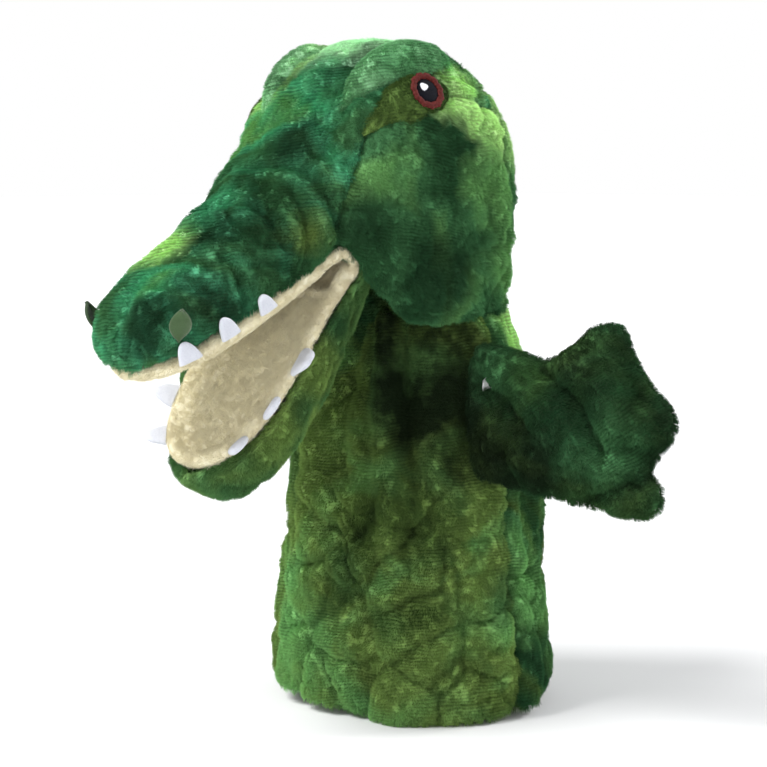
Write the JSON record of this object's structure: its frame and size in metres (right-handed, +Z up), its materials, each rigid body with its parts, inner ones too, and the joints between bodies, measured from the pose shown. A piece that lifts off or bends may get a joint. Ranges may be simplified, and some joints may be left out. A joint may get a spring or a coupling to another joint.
{
  "type": "moving mouth puppet",
  "caption": "Crocodile hand puppet of mottled green plush, with a hinged cream-lined mouth, felt teeth and two stuffed arms.",
  "frame": {"origin": "middle of the hand opening at the hem", "axes": "the puppet faces -Y, +Z is up and its left arm reaches along +X"},
  "size_m": [0.2819, 0.2145, 0.2845],
  "materials": {
    "body_plush": "matte",
    "head_plush": "matte",
    "hem_cloth": "matte",
    "mouth_lining": "matte",
    "white_felt": "matte",
    "green_felt": "matte",
    "eye_cloth": "matte",
    "eye_ring": "matte",
    "eye_black": "matte",
    "eye_white": "matte",
    "stiff_board": "matte",
    "pocket_cloth": "matte",
    "fibre_fill": "matte",
    "label_cloth": "matte"
  },
  "bodies": {
    "body": {"body_front_panel": "body_plush", "body_back_panel": "body_plush", "hem_facing": "hem_cloth", "care_label": "label_cloth"},
    "neck": {"neck_sleeve": "body_plush"},
    "head": {"crown_panel": "head_plush", "left_cheek": "body_plush", "right_cheek": "body_plush", "nape_panel": "body_plush", "left_brow": "head_plush", "right_brow": "head_plush", "left_eye_patch": "eye_cloth", "right_eye_patch": "eye_cloth", "left_iris": "eye_ring", "right_iris": "eye_ring", "left_pupil": "eye_black", "right_pupil": "eye_black", "left_highlight": "eye_white", "right_highlight": "eye_white", "left_nostril": "green_felt", "right_nostril": "green_felt", "palate": "mouth_lining", "upper_board": "stiff_board", "finger_pocket": "pocket_cloth", "crown_stuffing": "fibre_fill", "snout_stuffing": "fibre_fill", "upper_left_tooth_1": "white_felt", "upper_left_tooth_2": "white_felt", "upper_left_tooth_3": "white_felt", "upper_right_tooth_1": "white_felt", "upper_right_tooth_2": "white_felt", "upper_right_tooth_3": "white_felt"},
    "lower_jaw": {"jaw_skin": "body_plush", "mouth_floor": "mouth_lining", "lower_board": "stiff_board", "thumb_pocket": "pocket_cloth", "jaw_stuffing": "fibre_fill", "lower_left_tooth_1": "white_felt", "lower_left_tooth_2": "white_felt", "lower_left_tooth_3": "white_felt", "lower_right_tooth_1": "white_felt", "lower_right_tooth_2": "white_felt", "lower_right_tooth_3": "white_felt"},
    "left_arm": {"left_arm_front": "body_plush", "left_arm_back_face": "body_plush", "left_arm_stuffing": "fibre_fill"},
    "right_arm": {"right_arm_front": "body_plush", "right_arm_back_face": "body_plush", "right_arm_stuffing": "fibre_fill"}
  },
  "joints": [
    {"name": "head_turn", "type": "hinge", "parent": "body", "child": "neck", "pos_m": [0, 0, 0.17], "axis": [0, 0, 1], "range_deg": [-25, 25]},
    {"name": "head_nod", "type": "hinge", "parent": "neck", "child": "head", "pos_m": [0, 0, 0.182], "axis": [1, 0, 0], "range_deg": [-8, 8]},
    {"name": "jaw_open", "type": "hinge", "parent": "head", "child": "lower_jaw", "pos_m": [0, -0.054, 0.202], "axis": [1, 0, 0], "range_deg": [-18, 6], "stiffness_Nm_per_rad": 0.25, "springref_deg": -2.86},
    {"name": "left_arm_swing", "type": "hinge", "parent": "body", "child": "left_arm", "pos_m": [0.0565, -0.017, 0.129], "axis": [0, 0, 1], "range_deg": [-55, 12], "stiffness_Nm_per_rad": 0.05},
    {"name": "right_arm_swing", "type": "hinge", "parent": "body", "child": "right_arm", "pos_m": [-0.0565, -0.017, 0.129], "axis": [0, 0, -1], "range_deg": [-45, 22], "stiffness_Nm_per_rad": 0.05}
  ]
}
